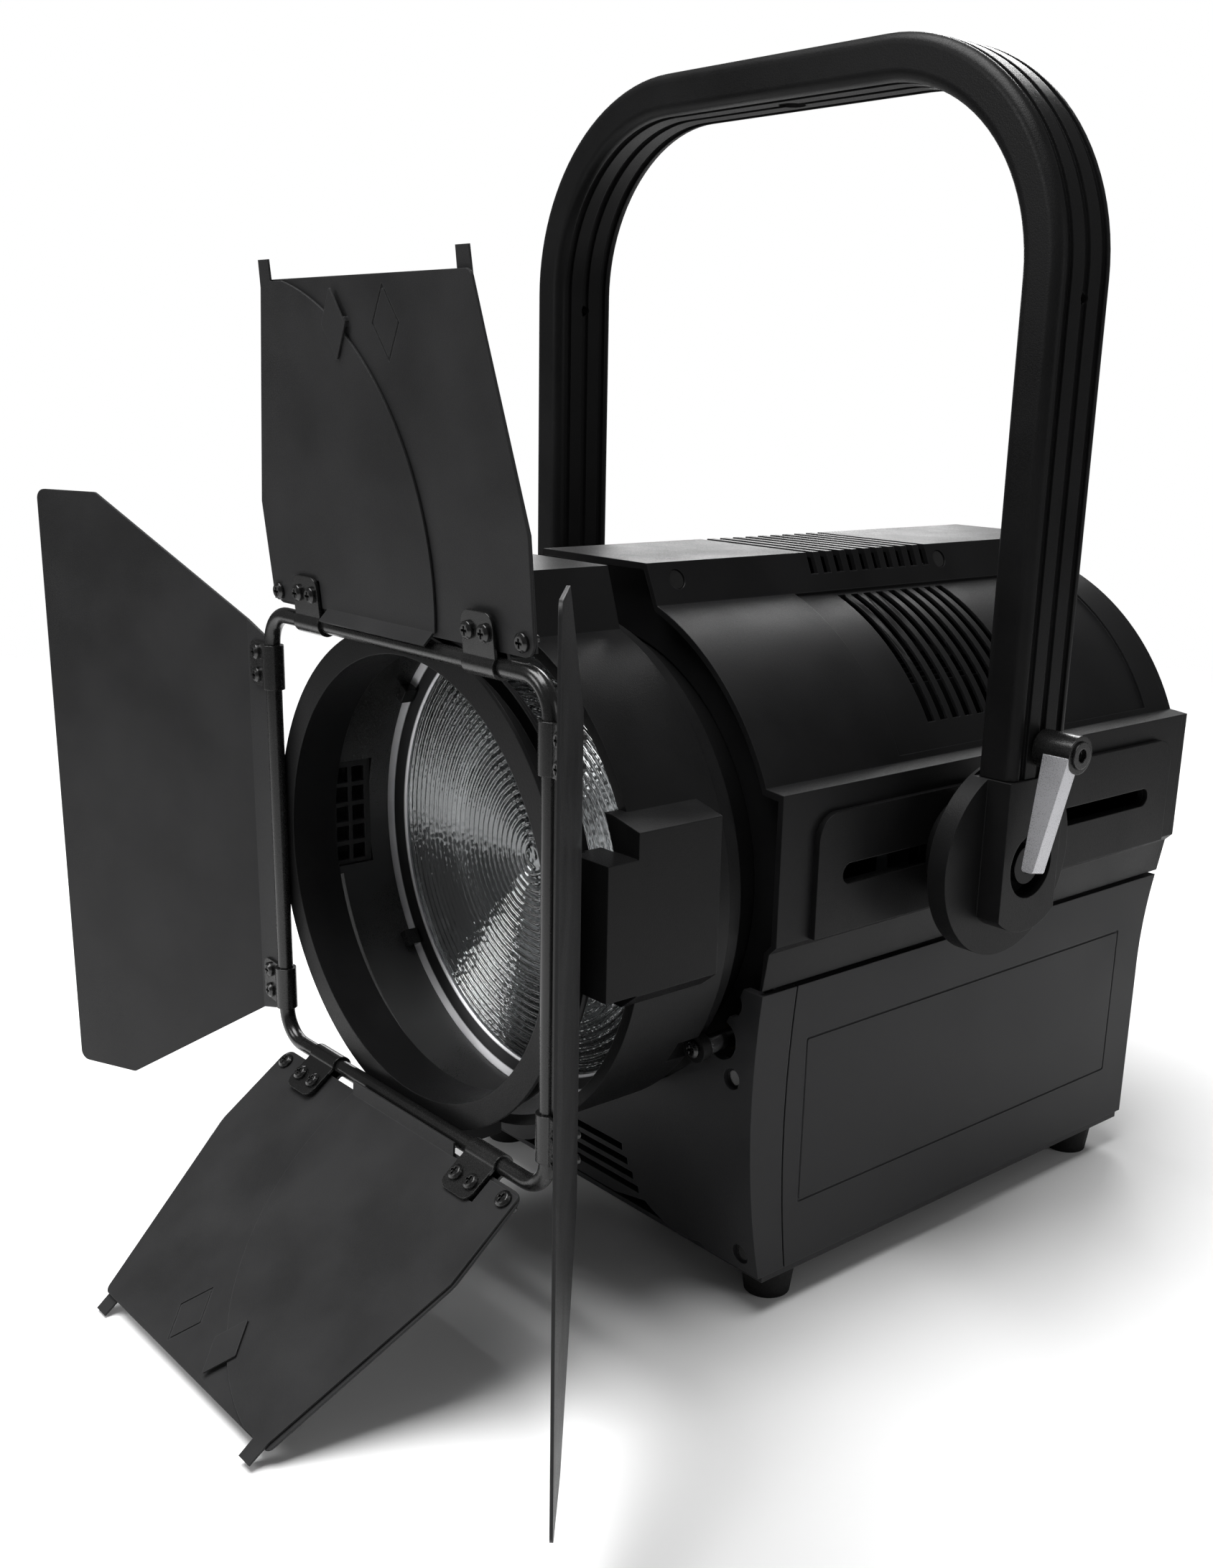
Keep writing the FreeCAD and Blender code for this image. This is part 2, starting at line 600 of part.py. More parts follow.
def head():
    radius, block_half = d.head_radius, d.head_block_half
    ridge, foot = d.ridge_half - 2, d.ridge_half + 7
    foot_z = math.sqrt(radius ** 2 - foot ** 2)
    face = outline((foot, foot_z), (ridge, d.ridge_top), (-ridge, d.ridge_top), (-foot, foot_z),
                   ((0, -radius), (foot, foot_z)))
    shell = prism_y("HeadBlank", [face], "Dims.head_front_y", "Dims.head_length")
    cheek = outline((-block_half, -22), (-block_half, 46), (-108, 49.8), (108, 49.8), (block_half, 46),
                    (block_half, -22), (115.4, -29), (-115.4, -29))
    cheeks = prism_y("HeadCheeks", [cheek], CHEEK_FRONT, CHEEK_REAR - CHEEK_FRONT)
    lip = bar("HeadLip", V(0, back(85.9), d.axis_height), Y_AXIS, 115, 10.1)
    claws = [block("Claw%d" % k, V(x, back(14.5), up(-21.5)), (23, 15.9, 56.5))
             for k, x in enumerate((-block_half, block_half - 23))]
    claws.append(block("ClawLow", V(-22, back(12.5), up(-123)), (44, 26, 24)))
    claws.append(block("ClawHigh", V(-14, back(9.5), up(109.3)), (28, 30, 19)))
    ears, scoops = [], []
    for x in (-d.guide_x, d.guide_x):
        at = V(x, back(86), up(-d.guide_drop))
        ears.append(bar("HeadEar%d" % (x > 0), at, Y_AXIS, 6.5, 5))
        scoops.append(bar("HeadScoop%d" % (x > 0), at - Y_AXIS * 12, Y_AXIS, 7, 12))
    solid = join("HeadSolid", [shell, cheeks, lip] + claws + ears)
    tools = [bar("HeadBore", V(0, back(CHEEK_FRONT - 0.1), d.axis_height), Y_AXIS, "Dims.head_bore",
                 85 - CHEEK_FRONT + 0.1),
             bar("LipBore", V(0, back(80), d.axis_height), Y_AXIS, "Dims.sleeve_radius", 20),
             bar("ClawTube", V(0, back(8), d.axis_height), Y_AXIS, "Dims.ring_bore + 2.7", 30),
             bar("ClawFlange", V(0, back(17.4), d.axis_height), Y_AXIS, 108.7, 3.4),
             bar("ClawRear", V(0, back(20.7), d.axis_height), Y_AXIS, 106, 17),
             bar("LatchBore", V(0, back(LATCH_Y), up(95)), Z_AXIS, 3.05, 50)]
    for sign in (-1, 1):
        corner = V(110 if sign > 0 else -119.5, back(32), up(-25.3))
        tools.append(block("GrillePocket%d" % (sign + 1), corner, (9.5, 23, 54)))
    node("head_shell", cut("HeadShell", solid, tools + scoops))


def latch():
    """Sprung pin that keeps the barndoor's flange behind the top claw."""
    pin = bar("LatchPin", V(0, back(LATCH_Y), up(102)), Z_AXIS, 3, 30)
    knob = bar("LatchKnob", V(0, back(LATCH_Y), up(128.7)), Z_AXIS, 4.4, 12)
    node("barndoor_latch", join("BarndoorLatch", [pin, knob]))


def grilles():
    plates = []
    for sign in (-1, 1):
        start = 112.4 if sign > 0 else -114.4
        holes = [rectangle(35 + 9.2 * i, -23 + 10.1 * j, 42 + 9.2 * i, -15.2 + 10.1 * j, 0.5)
                 for i in range(2) for j in range(5)]
        plates.append(prism_x("Grille%d" % (sign + 1), [rectangle(32.3, -25, 54.7, 28.4, 1)] + holes,
                              str(start), 2))
    node("side_grilles", group("SideGrilles", plates))


LENS_STEPS = 16


def lens():
    """Stepped front, flat back."""
    front, rear = d.lens_y, d.lens_y + d.lens_thick
    pitch = (d.lens_radius - 3) / LENS_STEPS
    steps = [((front + 0.4, pitch * 0.5), (front + 2.2, pitch))]
    for k in range(1, LENS_STEPS):
        steps.append((front, pitch * k))
        steps.append((front + 2.6, pitch * (k + 1)))
    edge = d.lens_radius
    profile = outline((front, 0), *steps, (front + 2.6, edge), (rear, edge), (rear, 0))
    node("fresnel_lens", turned("FresnelLens", profile))


def lens_mount():
    """Bright conical ring that frames the lens, with the four clips that hold it."""
    bore = d.head_bore - 0.1
    ring = turned("BezelRing", outline((66, bore), (75, bore), (75, 108), (72.4, 104.5), (71.4, 104.5)))
    clips = []
    for angle in (35, 145, 215, 325):
        c, s = math.cos(math.radians(angle)), math.sin(math.radians(angle))
        clip = block("LensClip%d" % angle, V(0, 0, 0), (5, 7, 8))
        at = FreeCAD.Placement(V(108.6 * c, back(60.5), up(108.6 * s)), FreeCAD.Rotation(Y_AXIS, -angle))
        clip.Placement = at.multiply(FreeCAD.Placement(V(0, 0, -4), FreeCAD.Rotation()))
        clips.append(clip)
    node("lens_bezel", join("LensBezel", [ring] + clips))


def sleeve():
    """Black tube that carries the head into the housing, with the lug for the zoom nut."""
    radius = d.sleeve_radius
    tube = turned("SleeveTube", outline((84.3, radius - 0.1), (96 + d.sleeve_length, radius - 0.1),
                                        (96 + d.sleeve_length, radius - d.sleeve_wall),
                                        (84.3, radius - d.sleeve_wall)))
    rear = 96 + d.sleeve_length
    lug = block("SleeveLug", V(-14, back(rear - 10), up(-SCREW_DROP - 12)), (28, 10, 36.5))
    saddle = block("SleeveSaddle", V(-14, back(rear - 12), up(-106.5)), (28, 12, 4.5))
    nut = bar("LeadNut", V(0, back(rear - 16), up(-SCREW_DROP)), Y_AXIS, 9, 16)
    bore = bar("NutBore", V(0, back(rear - 20), up(-SCREW_DROP)), Y_AXIS, 4.06, 30)
    node("inner_sleeve", cut("InnerSleeve", join("SleeveBlank", [tube, lug, saddle, nut]), [bore]))


def guides():
    def rod(side, sign):
        at = V(sign * d.guide_x, back(91), up(-d.guide_drop))
        rod_bar = bar("GuideRod" + side, at, Y_AXIS, "Dims.guide_radius", "Dims.guide_length")
        node("guide_rod_" + side, rod_bar)
        return screw("GuideScrew" + side, at - Y_AXIS * 5.02, Y_AXIS, 3.9, 2.4, 0.5, 0.1)
    node("guide_rod_screws", group("GuideRodScrews", both_sides(rod)))


# ---------------------------------------------------------------- barndoor

def barndoor_ring():
    bore, flange, outer = d.ring_bore, d.ring_flange, d.ring_radius
    tube, rear = bore + 2, 27.3
    spool = outline((d.rod_radius, bore), (rear, bore), (rear, tube), (20, tube), (20, flange), (18, flange),
                    (18, tube), (5.6, tube), (5.6, outer), (d.rod_radius, outer))
    node("barndoor_ring", turned("BarndoorRing", spool))


def rod_frame():
    """Round bar bent to a square; its four sides are the leaves' hinge pins."""
    half, bend = d.rod_half, d.rod_corner
    run = "2 * (Dims.rod_half - Dims.rod_corner)"
    parts = []
    for k in range(4):
        turn = FreeCAD.Placement(V(0, back(0), d.axis_height), FreeCAD.Rotation(Y_AXIS, 90 * k))
        side = bar("FrameSide%d" % k, V(0, 0, 0), Z_AXIS, "Dims.rod_radius", run)
        side.Placement = turn.multiply(FreeCAD.Placement(V(half, 0, bend - half), FreeCAD.Rotation()))
        corner = doc.addObject("Part::Torus", "FrameCorner%d" % k)
        corner.setExpression("Radius1", "Dims.rod_corner")
        corner.setExpression("Radius2", "Dims.rod_radius")
        corner.Angle3 = 90
        corner.Placement = turn.multiply(FreeCAD.Placement(V(half - bend, 0, half - bend),
                                                           FreeCAD.Rotation(X_AXIS, 90)))
        parts += [side, corner]
    node("rod_frame", join("RodFrame", parts))


# Each leaf is drawn flat: u along its hinge, v away from the hinge, +n on the lit front.
# The hinge side, the way it points and its angle forward from the frame's plane.
LEAF_TURNS = {"top": 0, "left": 90, "bottom": 180, "right": -90}
LEAF_ANGLES = {"top": 5.6, "bottom": 52.5, "left": -4, "right": 14}
FOLD_ANGLE = 28             # bend between a side leaf's hinge strip and its blade


def leaf_placement(side):
    """Puts a flat leaf on its side of the rod frame at its rest angle."""
    home = FreeCAD.Placement(V(0, back(0), d.axis_height), FreeCAD.Rotation(Y_AXIS, -LEAF_TURNS[side]))
    hinge = FreeCAD.Placement(V(0, 0, d.rod_half), FreeCAD.Rotation(X_AXIS, 90))
    swing = FreeCAD.Placement(V(0, 0, 0), FreeCAD.Rotation(X_AXIS, LEAF_ANGLES[side]))
    return home.multiply(hinge).multiply(swing)


def flat(name, loops, low, thick):
    """Sheet drawn in the leaf's (u, v), from height low along +n."""
    return prism_z(name, loops, str(low), str(thick))


CLIP_U = 65.5               # middle of each clip from the middle of an end leaf
SIDE_CLIP_U = 80.5
CLIP_SCREW_V = 13.5
SCREW_STEP = 5.5            # half the distance between a clip's two screws
PIVOT_U, PIVOT_V = 91, 12
DIAMOND_U, DIAMOND_V = 17.5, 127


def clip_screw_places(middle):
    return [(sign * middle + step, CLIP_SCREW_V) for sign in (-1, 1) for step in (-SCREW_STEP, SCREW_STEP)]


def holes(name, places, radius=2):
    return [bar("%s%d" % (name, k), V(u, v, -12), Z_AXIS, radius, 24) for k, (u, v) in enumerate(places)]


def end_leaf(side):
    """Top or bottom leaf: flat blade with two lanced diamonds that guide its flaps."""
    half, length, thick = d.end_leaf_half, d.end_leaf_length, d.leaf_sheet
    blade = flat(side + "Blade", [rounded((-97, 6.2, 6), (97, 6.2, 6), (half, 52, 20), (76, length, 4),
                                          (-76, length, 4), (-half, 52, 20))], -thick / 2, thick)
    parts = [blade]
    rise = thick / 2 + d.leaf_gap + d.flap_sheet + d.leaf_gap
    for sign, facing in ((-1, 1), (1, -1)):
        u = sign * DIAMOND_U
        shape = rounded((u - 9, DIAMOND_V, 0.5), (u, DIAMOND_V - 14, 0.5), (u + 9, DIAMOND_V, 0.5),
                        (u, DIAMOND_V + 14, 0.5))
        low = rise if facing > 0 else -rise - 0.8
        parts.append(flat("%sDiamond%d" % (side, sign + 1), [shape], low, 0.8))
        foot_low = thick / 2 - 0.05 if facing > 0 else -rise - 0.05
        edge = u - sign * 8.6
        foot = rounded((edge + sign * 2.4, DIAMOND_V + 1, 0.3), (edge + sign * 0.9, DIAMOND_V - 1.5, 0.3),
                       (edge, DIAMOND_V + 1, 0.3), (edge + sign * 0.9, DIAMOND_V + 3, 0.3))
        parts.append(flat("%sFoot%d" % (side, sign + 1), [foot], foot_low, rise - thick / 2 + 0.1))
    places = clip_screw_places(CLIP_U) + [(-PIVOT_U, PIVOT_V), (PIVOT_U, PIVOT_V)]
    tools = holes(side + "Hole", places)
    for sign, face in ((-1, -thick / 2), (1, thick / 2)):
        u = sign * DIAMOND_U
        score = [rounded((u - reach, DIAMOND_V, 0.5), (u, DIAMOND_V - 1.5 * reach, 0.5),
                         (u + reach, DIAMOND_V, 0.5), (u, DIAMOND_V + 1.5 * reach, 0.5))
                 for reach in (9.8, 8.7)]
        tools.append(flat("%sScore%d" % (side, sign + 1), score, face - 0.5, 1))
    leaf = cut(side + "Leaf", join(side + "LeafBlank", parts), tools)
    leaf.Placement = leaf_placement(side)
    node("leaf_" + side, leaf)


def flap(side, hand, sign):
    """Auxiliary leaf: a sector that swings about the screw in the blade's hinge corner.

    The front one has a stiffening lip bent forward along the rod.
    """
    half, length = d.end_leaf_half, d.end_leaf_length
    arc_end = outline((sign * 96.6, 8), (sign * 77, 8), (sign * 77, 20), (sign * 54.5, 20), (sign * 54.5, 8),
                      (sign * -33, 8), ((sign * -14, 96), (sign * 57.5, length - 0.6)),
                      (sign * 66, length - 0.6), (sign * 66, length + 8), (sign * 74, length + 8),
                      (sign * 74.6, length - 3), (sign * (half - 1), 52))
    low = d.leaf_sheet / 2 + d.leaf_gap
    if sign > 0:
        low = -low - d.flap_sheet
    name = "%sFlap%s" % (side, hand)
    plate = flat(name, [arc_end], low, d.flap_sheet)
    if sign < 0:
        lip = block(name + "Lip", V(0, 0, 0), (82, 7, 1))
        lip.Placement = FreeCAD.Placement(V(-50, 8.6, low + 0.75), FreeCAD.Rotation(X_AXIS, 130))
        plate = join(name + "WithLip", [plate, lip])
    piece = cut(name + "Cut", plate, holes(name + "Hole", [(sign * PIVOT_U, PIVOT_V)], 1.95))
    piece.Placement = leaf_placement(side)
    node("flap_%s_%s" % (side, hand), piece)


def side_leaf(side):
    """Left or right leaf: hinge strip, then the wide blade bent forward from it."""
    thick, fold, length = d.leaf_sheet, d.side_leaf_fold, d.side_leaf_length
    strip = flat(side + "Strip", [rounded((-94, 6.2, 3), (94, 6.2, 3), (100, fold, 0), (-100, fold, 0))],
                 -thick / 2, thick)
    blade = flat(side + "Blade", [rounded((-100, 0, 0), (100, 0, 0), (155, 90, 4), (155, length, 5),
                                          (-155, length, 5), (-155, 90, 4))], -thick / 2, thick)
    blade.Placement = FreeCAD.Placement(V(0, fold - 0.3, 0), FreeCAD.Rotation(X_AXIS, FOLD_ANGLE))
    leaf = cut(side + "Leaf", join(side + "LeafBlank", [strip, blade]),
               holes(side + "Hole", clip_screw_places(SIDE_CLIP_U)))
    leaf.Placement = leaf_placement(side)
    node("leaf_" + side, leaf)


def clips(side, middle, ear_gap):
    """Sheet clips that wrap the rod and grip the leaf between two ears."""
    inner, outer = d.rod_radius + 0.05, d.rod_radius + 0.05 + d.clip_sheet
    pieces = []
    for sign in (-1, 1):
        name = "%sClip%d" % (side, sign + 1)
        start = V(sign * middle - d.clip_width / 2, 0, 0)
        wrap = bar(name + "Wrap", start, X_AXIS, outer, "Dims.clip_width")
        ears = []
        for face in (-1, 1):
            low = ear_gap if face > 0 else -ear_gap - d.clip_sheet
            ears.append(flat("%sEar%d" % (name, face + 1), [rounded(
                (start.x, 2, 0), (start.x + d.clip_width, 2, 0), (start.x + d.clip_width, 21.5, 5),
                (start.x, 21.5, 5))], low, d.clip_sheet))
        tools = [bar(name + "Bore", start - X_AXIS, X_AXIS, inner, "Dims.clip_width + 2"),
                 block(name + "Mouth", V(start.x - 1, 0.5, -ear_gap),
                       ("Dims.clip_width + 2", 30, 2 * ear_gap))]
        places = [(sign * middle + step, CLIP_SCREW_V) for step in (-SCREW_STEP, SCREW_STEP)]
        pieces.append(cut(name, join(name + "Blank", [wrap] + ears), tools + holes(name + "Hole", places)))
    item = group(side + "Clips", pieces)
    item.Placement = leaf_placement(side)
    node("leaf_clips_" + side, item)


def leaf_screws(side, middle, ear_gap, pivots):
    """Pan-head screws with their nuts, through clips, leaf and flaps."""
    face = ear_gap + d.clip_sheet
    items = []
    for k, (u, v) in enumerate(clip_screw_places(middle)):
        items.append(screw("%sScrew%d" % (side, k), V(u, v, face), -Z_AXIS, 3.7, 2.3, 1.9, face + 7.5))
    for k, u in enumerate(pivots):
        top = d.leaf_sheet / 2 + (d.leaf_gap + d.flap_sheet if u < 0 else 0) + 0.02
        items.append(screw("%sPivot%d" % (side, k), V(u, PIVOT_V, top), -Z_AXIS, 3.9, 2.3, 1.9, top + 6))
    item = group(side + "Screws", items)
    item.Placement = leaf_placement(side)
    node("leaf_screws_" + side, item)


def barndoor():
    barndoor_ring()
    rod_frame()
    flap_space = d.leaf_sheet / 2 + 2 * d.leaf_gap + d.flap_sheet
    for side in ("top", "bottom"):
        end_leaf(side)
        # flap a lies on the lit side and flap b behind the blade
        flap(side, "a", -1)
        flap(side, "b", 1)
        clips(side, CLIP_U, flap_space)
        leaf_screws(side, CLIP_U, flap_space, (-PIVOT_U, PIVOT_U))
    for side in ("left", "right"):
        side_leaf(side)
        clips(side, SIDE_CLIP_U, d.leaf_sheet / 2)
        leaf_screws(side, SIDE_CLIP_U, d.leaf_sheet / 2, ())


# ---------------------------------------------------------------- yoke

YOKE_GROOVES = 3
GROOVE_WIDTH = 4.2
GROOVE_PITCH = 11.8
GROOVE_DEPTH = 1.6
YOKE_EDGE = 5               # rounding of the bar's long edges


def yoke_band(name, outside, inside, start, length, low):
    """U-shaped band between two insets of the bent bar's outline, open at the feet."""
    steps = []
    for inset, sign in ((outside, 1), (inside, -1)):
        half, top, bend = d.yoke_half - inset, d.yoke_top - inset, d.yoke_bend - inset
        slant = bend * (1 - math.sqrt(0.5))
        steps += [(sign * half, low), (sign * half, top - bend),
                  ((sign * (half - slant), top - slant), (sign * (half - bend), top)),
                  (sign * (bend - half), top),
                  ((sign * (slant - half), top - slant), (sign * -half, top - bend)),
                  (sign * -half, low)]
    return prism_y(name, [outline(*steps)], start, length)


def long_edges(shape, low):
    """Numbers of the bar's long edges: those that lie in its front or rear face, feet apart."""
    numbers = []
    for number, edge in enumerate(shape.Edges, 1):
        box = edge.BoundBox
        if box.YLength < 0.01 and box.ZMax > up(low) + 1:
            numbers.append(number)
    return numbers


def yoke():
    bent = yoke_band("YokeBar", 0, d.yoke_thick, "Dims.pivot_y - Dims.yoke_width / 2", "Dims.yoke_width",
                     d.yoke_foot)
    doc.recompute()
    smooth = doc.addObject("Part::Fillet", "YokeRounded")
    smooth.Base = bent
    smooth.Edges = [(number, YOKE_EDGE, YOKE_EDGE) for number in long_edges(bent.Shape, d.yoke_foot)]
    tools = []
    for k in range(YOKE_GROOVES):
        middle = d.pivot_y + (k - (YOKE_GROOVES - 1) / 2) * GROOVE_PITCH
        start, low = middle - GROOVE_WIDTH / 2, d.yoke_foot - 1
        tools.append(yoke_band("GrooveOut%d" % k, -1, GROOVE_DEPTH, start, GROOVE_WIDTH, low))
        tools.append(yoke_band("GrooveIn%d" % k, d.yoke_thick - GROOVE_DEPTH, d.yoke_thick + 1, start,
                               GROOVE_WIDTH, low))
    tools.append(bar("YokeHangHole", V(0, back(d.pivot_y), up(d.yoke_top - 25)), Z_AXIS, 6.5, 30))
    for side, sign in (("Left", -1), ("Right", 1)):
        for name, rise, radius in (("YokeSideHole", 250, 2.6), ("YokeStudHole", d.lever_rise, 4.05)):
            at = V(sign * (d.yoke_half - 25), back(d.pivot_y), up(rise))
            tools.append(bar(name + side, at, X_AXIS * sign, radius, 30))
    node("yoke", cut("Yoke", smooth, tools))


LEG_COVER = 0.8             # how far the end castings stand proud of the leg
END_RADIUS = 31             # round lower end of the leg castings
PIVOT_SEAT = 9              # depth of the counterbore for the pivot bolt


def yoke_ends():
    """Castings at the feet of the yoke: the leg's round end on a disc with a flat top."""
    inner, disc_face = d.yoke_half - d.yoke_thick, d.yoke_half - 11.5
    outer = d.yoke_half + LEG_COVER
    front, rear = (d.pivot_y + sign * (d.yoke_width / 2 + LEG_COVER) for sign in (-1, 1))
    drop = math.sqrt(END_RADIUS ** 2 - (d.yoke_width / 2 + LEG_COVER) ** 2)

    def casting(side, sign):
        def piece(name, loop, near, far):
            start = near if sign > 0 else -far
            return prism_x(name + side, [loop], str(start), str(far - near))
        leg = outline((front, d.yoke_foot - 0.3), (front, d.pivot_rise - drop),
                      ((d.pivot_y, d.pivot_rise - END_RADIUS), (rear, d.pivot_rise - drop)),
                      (rear, d.yoke_foot - 0.3))
        chord = math.sqrt(d.disc_radius ** 2 - (d.yoke_foot - 0.3 - d.pivot_rise) ** 2)
        flat_disc = outline((d.pivot_y - chord, d.yoke_foot - 0.3),
                            ((d.pivot_y, d.pivot_rise - d.disc_radius),
                             (d.pivot_y + chord, d.yoke_foot - 0.3)))
        at = V(sign * inner, back(d.pivot_y), up(d.pivot_rise))
        outward = X_AXIS * sign
        flange = bar("Flange" + side, V(sign * (inner - 2), at.y, at.z), outward, "Dims.disc_radius", 1.7)
        parts = [piece("Leg", leg, inner - 0.4, outer), piece("Disc", flat_disc, inner - 0.4, disc_face),
                 flange]
        recess = bar("Recess" + side, V(sign * (outer - PIVOT_SEAT), at.y, at.z), outward, 15, 12)
        bore = bar("CastBore" + side, V(sign * 130, at.y, at.z), outward, "Dims.pivot_radius", 60)
        node("yoke_end_" + side, cut("YokeEnd" + side, join("YokeEndBlank" + side, parts), [recess, bore]))
    both_sides(casting)


def carriage():
    """Blocks that slide along the side slots and carry the yoke's pivots, and the yoke's bolts."""
    face, far = d.side_half + d.wall + 0.4, d.yoke_half - d.yoke_thick - 2.4

    def slider(side, sign):
        centre = V(sign * face, back(d.pivot_y), up(d.pivot_rise))
        outward = X_AXIS * sign
        plate = bar("Slider" + side, centre, outward, "Dims.carriage_radius", far - face)
        neck_x = 120 if sign > 0 else -face - 0.1
        neck = block("Neck" + side, V(neck_x, centre.y - 12, centre.z - 4.6), (face - 119.9, 24, 9.2))
        key_x = 117.5 if sign > 0 else -123.5
        key = block("Key" + side, V(key_x, centre.y - 20, centre.z - 12), (6, 40, 24))
        bore = bar("SliderBore" + side, V(sign * 110, centre.y, centre.z), outward,
                   "Dims.pivot_radius + 0.05", 40)
        blank = join("SliderBlank" + side, [plate, neck, key])
        node("slide_block_" + side, cut("SlideBlock" + side, blank, [bore]))
        seat = V(sign * (d.yoke_half + LEG_COVER - PIVOT_SEAT), centre.y, centre.z)
        bolt = bar("BoltHead" + side, seat, outward, 9, 7)
        socket = bar("BoltSocket" + side, seat + outward * 3, outward, 4, 6)
        shank = bar("BoltShank" + side, V(sign * 117.5, centre.y, centre.z), outward, "Dims.pivot_radius",
                    abs(seat.x) - 117.4)
        return join("PivotBolt" + side, [cut("BoltTop" + side, bolt, [socket]), shank])
    pivots = both_sides(slider)
    lock = screw("LockBolt", V(-d.yoke_half, back(d.pivot_y), up(d.lever_rise)), X_AXIS, 7, 6, 4, 15)
    node("yoke_bolts", group("YokeBolts", pivots + [lock]))


LEVER_HUB_LENGTH = 19


def clamp():
    """Clamping lever on the stud in the right leg."""
    hub_start = d.yoke_half + 1.4
    centre = V(hub_start, back(d.pivot_y), up(d.lever_rise))
    hub = bar("LeverHub", centre, X_AXIS, "Dims.lever_hub", LEVER_HUB_LENGTH)
    face = rounded((hub_start + 6, -2, 0), (hub_start + LEVER_HUB_LENGTH, -2, 0),
                   (hub_start + 13, -54, 1.5), (hub_start + 7, -54, 1.5))
    arm = prism_y("LeverArm", [face], "-Dims.rod_plane - Dims.lever_hub", "Dims.lever_hub", "0")
    arm.Placement = FreeCAD.Placement(V(0, centre.y, centre.z), FreeCAD.Rotation(X_AXIS, -10.5))
    bore = bar("LeverBore", centre - X_AXIS, X_AXIS, 4.05, 30)
    cap_seat = bar("LeverSeat", centre + X_AXIS * (LEVER_HUB_LENGTH - 3), X_AXIS, 6.1, 10)
    node("clamp_lever", cut("ClampLever", join("LeverBlank", [hub, arm]), [bore, cap_seat]))
    stud_start = d.yoke_half - d.yoke_thick + 2
    stud_end = hub_start + LEVER_HUB_LENGTH - 2.8
    stud = bar("LeverStud", V(stud_start, centre.y, centre.z), X_AXIS, 4, stud_end - stud_start)
    cap = bar("LeverCap", centre + X_AXIS * (LEVER_HUB_LENGTH - 2.9), X_AXIS, 6, 4)
    socket = bar("LeverSocket", centre + X_AXIS * (LEVER_HUB_LENGTH - 1.6), X_AXIS, 3, 6)
    node("lever_stud", join("LeverStudWhole", [stud, cut("LeverCapTop", cap, [socket])]))


upper_shell()
slide_plates()
bulkhead()
rear_cap()
base()
fascia()
feet()
housing_screws()
light_engine()
fan()
zoom_drive()
electronics()
controls()
head()
latch()
grilles()
lens()
lens_mount()
sleeve()
guides()
barndoor()
yoke()
yoke_ends()
carriage()
clamp()
doc.recompute()

for item in doc.Objects:
    if "Invalid" in item.State or "Error" in item.State:
        raise RuntimeError("%s did not build: %s" % (item.Label, item.State))
bad = [item.Label for item in nodes if item.Shape.isNull() or not item.Shape.isValid()]
if bad:
    raise RuntimeError("no valid shape: " + ", ".join(bad))
for item in nodes:
    item.Shape.exportStep("parts/%s.step" % item.Label)
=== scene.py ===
import bmesh
import bpy
import json
import math
from mathutils import Matrix, Vector


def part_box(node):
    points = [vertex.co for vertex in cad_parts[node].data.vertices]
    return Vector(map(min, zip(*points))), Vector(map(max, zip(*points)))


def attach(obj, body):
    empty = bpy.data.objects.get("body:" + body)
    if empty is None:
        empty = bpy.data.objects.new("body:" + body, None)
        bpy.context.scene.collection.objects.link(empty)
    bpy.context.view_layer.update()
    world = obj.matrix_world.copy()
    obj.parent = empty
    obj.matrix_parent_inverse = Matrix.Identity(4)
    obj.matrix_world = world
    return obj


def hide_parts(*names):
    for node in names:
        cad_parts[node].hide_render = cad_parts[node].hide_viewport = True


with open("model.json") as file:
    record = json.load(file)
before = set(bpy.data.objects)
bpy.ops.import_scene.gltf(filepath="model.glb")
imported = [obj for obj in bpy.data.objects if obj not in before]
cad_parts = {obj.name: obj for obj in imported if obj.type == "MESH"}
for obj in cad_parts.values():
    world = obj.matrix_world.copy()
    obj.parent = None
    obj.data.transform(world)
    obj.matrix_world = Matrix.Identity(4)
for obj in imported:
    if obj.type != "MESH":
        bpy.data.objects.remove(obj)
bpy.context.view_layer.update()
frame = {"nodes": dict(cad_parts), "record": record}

NODES = frame["nodes"]


# --- materials ---------------------------------------------------------------

def new_material(name):
    """A material with only a Principled shader and its output."""
    material = bpy.data.materials.new(name)
    material.use_nodes = True
    tree = material.node_tree
    tree.nodes.clear()
    output = tree.nodes.new("ShaderNodeOutputMaterial")
    shader = tree.nodes.new("ShaderNodeBsdfPrincipled")
    tree.links.new(shader.outputs["BSDF"], output.inputs["Surface"])
    return material, tree, shader


def noise(tree, scale, detail=2.0, stretch=(1, 1, 1)):
    """Noise in the piece's own metres; scale is in waves per metre."""
    place = tree.nodes.new("ShaderNodeTexCoord")
    spread = tree.nodes.new("ShaderNodeMapping")
    spread.inputs["Scale"].default_value = stretch
    pattern = tree.nodes.new("ShaderNodeTexNoise")
    pattern.inputs["Scale"].default_value = scale
    pattern.inputs["Detail"].default_value = detail
    tree.links.new(place.outputs["Object"], spread.inputs["Vector"])
    tree.links.new(spread.outputs["Vector"], pattern.inputs["Vector"])
    return pattern.outputs["Fac"]


def between(tree, factor, low, high, start=0.35, end=0.65):
    """Carries a 0 to 1 pattern over to the values between low and high."""
    span = tree.nodes.new("ShaderNodeMapRange")
    span.inputs["From Min"].default_value = start
    span.inputs["From Max"].default_value = end
    span.inputs["To Min"].default_value = low
    span.inputs["To Max"].default_value = high
    tree.links.new(factor, span.inputs["Value"])
    return span.outputs["Result"]


